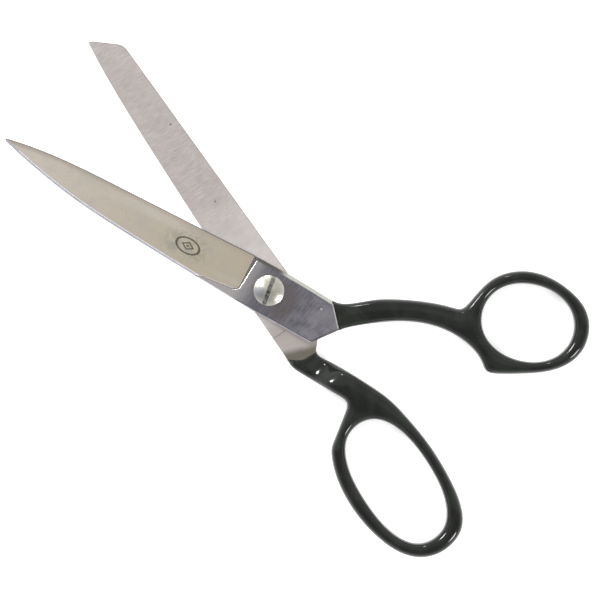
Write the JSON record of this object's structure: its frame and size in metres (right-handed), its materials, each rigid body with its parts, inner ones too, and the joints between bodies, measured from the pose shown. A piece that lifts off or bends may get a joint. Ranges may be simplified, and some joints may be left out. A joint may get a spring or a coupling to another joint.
{
  "type": "fabric shears",
  "caption": "Bent dressmaker's shears for cutting fabric: two pivoted steel halves with dark enamelled bows, a slotted screw and a lock nut.",
  "frame": {"origin": "on the pivot axis, at the level of the table that the shears lie on, which is the outer end of the screw and nut", "axes": "+Z along the pivot axis, out of the screw's head; the blades point to -X and the handles to +X, and the two halves stand open by the same angle on either side of X"},
  "size_m": [0.1982, 0.1018, 0.0108],
  "materials": {
    "thumb_steel": "ground and polished steel",
    "finger_steel": "finely ground steel",
    "enamel": "glossy baked enamel",
    "screw_steel": "bright nickel plate"
  },
  "bodies": {
    "finger_side": {"finger_half": "finger_steel", "finger_enamel": "enamel", "lock_nut": "screw_steel"},
    "thumb_side": {"thumb_half": "thumb_steel", "thumb_enamel": "enamel"},
    "screw": {"pivot_screw": "screw_steel"}
  },
  "joints": [
    {"name": "pivot", "type": "hinge", "parent": "finger_side", "child": "thumb_side", "pos_m": [0, 0, 0.00453], "axis": [0, 0, 1], "range_deg": [-23.9, 105]},
    {"name": "tension_setting", "type": "hinge", "parent": "finger_side", "child": "screw", "pos_m": [0, 0, 0.00453], "axis": [0, 0, 1], "range_deg": [-45, 45]}
  ]
}
